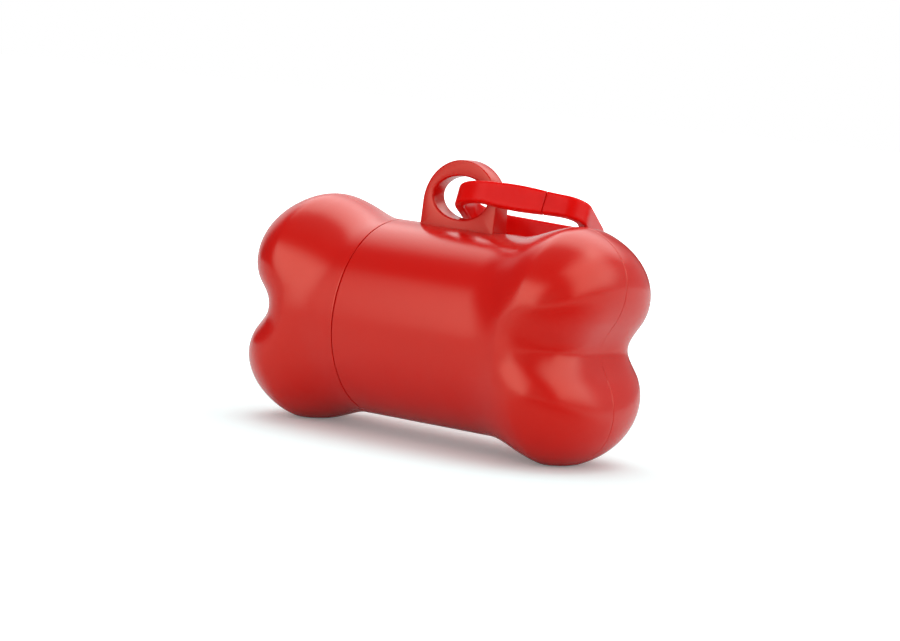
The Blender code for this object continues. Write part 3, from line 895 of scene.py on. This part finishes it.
def band_piece(name, path, tip, sizes, place):
    """Band along a path in the clip's plane, softened at its tip, which is the path's first or last place."""
    full, small = band_section(sizes, 0.0), band_section(sizes, sizes.tip_round)
    run = sizes.length / 2 - sizes.nose_corner

    def ring(spot, out, section):
        """Section at one place, taller towards the middle of the near arm."""
        swell = 1.0
        if spot[1] < 0 and abs(spot[0]) < run:
            swell += sizes.swell / sizes.band * math.cos(math.pi / 2 * spot[0] / run) ** 2
        return [np.array([*(spot + out * across), level * swell]) for across, level in section]

    rings = [ring(spot, out, full) for spot, out in path]
    spot, out = path[tip]
    inward = path[1 if tip == 0 else -2][0] - spot
    inward *= sizes.tip_round / np.linalg.norm(inward)
    rings[tip] = ring(spot + inward, out, full)
    rings.insert(0 if tip == 0 else len(rings), ring(spot, out, small))
    poles = [np.mean(rings[0], axis=0), np.mean(rings[-1], axis=0)]
    return mesh_object(name, [sleeve(rings, poles)], place)


class DISPENSER_OT_clip(bpy.types.Operator):
    """Snap clip: an oblong band whose near arm bends open beside its nose"""
    bl_idname = "dispenser.clip"
    bl_label = "Snap clip"

    def execute(self, context):
        sizes = context.scene.clip_sizes
        place = clip_place(sizes)
        reach, far = sizes.length / 2, sizes.width / 2
        corner, loop_corner = sizes.nose_corner, sizes.loop_corner
        run, rise = reach - corner, far - corner
        loop_run, loop_rise = loop_corner - reach, far - loop_corner
        meet = (-reach, loop_rise - sizes.join_drop)
        hook_path = (
            straight(meet, (-reach, loop_rise), JOIN_STEPS)
            + bend((loop_run, loop_rise), loop_corner, 180, 90)
            + straight((loop_run, far), (run, far)) + bend((run, rise), corner, 90, 0)
            + straight((reach, rise), (reach, -rise)) + bend((run, -rise), corner, 0, -90)
            + straight((run, -far), (sizes.gate_tip + sizes.gap, -far))
        )
        gate_path = (
            straight((sizes.gate_tip, -far), (loop_run, -far), GATE_STEPS)
            + bend((loop_run, -loop_rise), loop_corner, 270, 180) + straight((-reach, -loop_rise), meet)
        )
        stuff = glossy_clear_acetal(context.scene.dispenser_colours)
        hook = band_piece("clip_band", hook_path, -1, sizes, place)
        gate = band_piece("clip_gate_arm", gate_path, 0, sizes, place)
        for piece, node in ((hook, "clip_hook"), (gate, "clip_gate")):
            piece.data.materials.append(stuff)
            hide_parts(node)
        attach(hook, "clip")
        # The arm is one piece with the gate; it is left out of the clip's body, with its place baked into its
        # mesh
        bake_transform(gate)
        return {"FINISHED"}


def area_light(name, azimuth, elevation, size, power, mirrored):
    """Oblong lamp with soft edges, turned from the front towards the closed end by its azimuth.
    A mirrored lamp shows only in reflections, and another one only lights, to set sheen and shade apart."""
    data = bpy.data.lights.new(name, "AREA")
    data.shape = "RECTANGLE"
    data.size, data.size_y = size
    data.energy = power
    data.use_nodes = True
    tree = data.node_tree
    # Places on a lamp run from 0 to 1 across it, so this is its middle
    middle = (0.5, 0.5, 0.0)
    spot = add_node(tree, "ShaderNodeNewGeometry")
    across = add_node(
        tree, "ShaderNodeVectorMath", {"operation": "SUBTRACT", 1: middle}, {0: spot.outputs["Parametric"]},
    )
    away = add_node(tree, "ShaderNodeVectorMath", {"operation": "ABSOLUTE"}, {0: across.outputs["Vector"]})
    sides = add_node(tree, "ShaderNodeSeparateXYZ", None, {"Vector": away.outputs["Vector"]})
    edge = add_node(
        tree, "ShaderNodeMath", {"operation": "MAXIMUM"}, {0: sides.outputs["X"], 1: sides.outputs["Y"]},
    )
    soft = add_node(
        tree, "ShaderNodeMapRange",
        {"interpolation_type": "SMOOTHSTEP", **reach_range(LAMP_FADE, (1.0, 0.0))},
        {"Value": edge.outputs["Value"]},
    )
    tree.links.new(soft.outputs["Result"], tree.nodes["Emission"].inputs["Strength"])
    turn, climb = math.radians(azimuth), math.radians(elevation)
    aim = Vector((math.sin(turn) * math.cos(climb), -math.cos(turn) * math.cos(climb), math.sin(climb)))
    lamp = bpy.data.objects.new(name, data)
    lamp.location = aim * LAMP_REACH
    lamp.rotation_euler = aim.to_track_quat("Z", "Y").to_euler()
    lamp.visible_camera = False
    lamp.visible_diffuse = not mirrored
    lamp.visible_glossy = mirrored
    bpy.context.collection.objects.link(lamp)


def studio_world():
    """White where the camera looks, dim around the lamps where the plastic mirrors the room."""
    world = bpy.data.worlds.new("studio_white")
    world.use_nodes = True
    tree = world.node_tree
    ground = tree.nodes["Background"]
    ground.inputs["Color"].default_value = (*linear("#FFFFFF"), 1.0)
    path = add_node(tree, "ShaderNodeLightPath")
    room = add_node(
        tree, "ShaderNodeMapRange", {"To Min": ROOM_LIGHT, "To Max": ROOM_MIRRORED},
        {"Value": path.outputs["Is Glossy Ray"]},
    )
    seen = add_node(
        tree, "ShaderNodeMapRange", {"To Max": 1.0},
        {"Value": path.outputs["Is Camera Ray"], "To Min": room.outputs["Result"]},
    )
    tree.links.new(seen.outputs["Result"], ground.inputs["Strength"])
    return world


def photo_camera(middle):
    """Camera at the photograph's place, turn and focal length."""
    data = bpy.data.cameras.new("photo_camera")
    data.sensor_width = SENSOR_WIDTH
    data.sensor_fit = "HORIZONTAL"
    data.lens = PHOTO_FOCAL / PHOTO_WIDTH * SENSOR_WIDTH
    data.clip_start = 0.01
    camera = bpy.data.objects.new("photo_camera", data)
    bpy.context.collection.objects.link(camera)
    turn = (
        Matrix.Rotation(CAMERA_AZIMUTH, 4, "Z")
        @ Matrix.Rotation(math.pi / 2 - CAMERA_ELEVATION, 4, "X")
        @ Matrix.Rotation(CAMERA_ROLL, 4, "Z")
    )
    camera.matrix_world = Matrix.Translation(Vector(CAMERA_PLACE) + middle) @ turn
    return camera


class DISPENSER_OT_stage(bpy.types.Operator):
    """Pale floor, soft lamps, white surroundings and the photograph's camera"""
    bl_idname = "dispenser.stage"
    bl_label = "Studio stage"

    def execute(self, context):
        scene = context.scene
        corners = [(x * FLOOR_HALF, y * FLOOR_HALF, 0.0) for x, y in ((-1, -1), (1, -1), (1, 1), (-1, 1))]
        floor = mesh_object("studio_floor", [(corners, [(0, 1, 2, 3)])], Matrix.Identity(4))
        floor.data.materials.append(painted_board(scene.dispenser_colours))
        for lamp in LAMPS:
            area_light(*lamp)
        scene.world = studio_world()
        scene.camera = photo_camera(Vector((0.0, 0.0, AXIS_HEIGHT)))
        scene.view_settings.view_transform = "Standard"
        return {"FINISHED"}


class DISPENSER_PT_panel(bpy.types.Panel):
    """Lists the pieces in the sidebar"""
    bl_label = "Bone bag dispenser"
    bl_idname = "DISPENSER_PT_panel"
    bl_space_type = "VIEW_3D"
    bl_region_type = "UI"
    bl_category = "Dispenser"

    def draw(self, context):
        for made in OPERATORS:
            self.layout.operator(made.bl_idname)


GROUPS = {
    "bone_sizes": BoneSizes, "loop_sizes": LoopSizes, "roll_sizes": RollSizes, "clip_sizes": ClipSizes,
    "dispenser_colours": Colours,
}
OPERATORS = (
    DISPENSER_OT_stage, DISPENSER_OT_shell, DISPENSER_OT_hang_loop, DISPENSER_OT_cap, DISPENSER_OT_roll,
    DISPENSER_OT_core, DISPENSER_OT_clip,
)


def register():
    """Add the sizes, the operators and the panel to Blender."""
    for made in (*GROUPS.values(), *OPERATORS, DISPENSER_PT_panel):
        bpy.utils.register_class(made)
    for name, group in GROUPS.items():
        setattr(bpy.types.Scene, name, PointerProperty(type=group))


def unregister():
    """Take them out again."""
    for name in GROUPS:
        delattr(bpy.types.Scene, name)
    for made in (DISPENSER_PT_panel, *OPERATORS[::-1], *list(GROUPS.values())[::-1]):
        bpy.utils.unregister_class(made)


def main():
    """Make every piece and the stage."""
    register()
    bpy.ops.dispenser.stage()
    bpy.ops.dispenser.shell()
    bpy.ops.dispenser.hang_loop()
    bpy.ops.dispenser.cap()
    bpy.ops.dispenser.roll()
    bpy.ops.dispenser.core()
    bpy.ops.dispenser.clip()


if __name__ == "__main__":
    main()
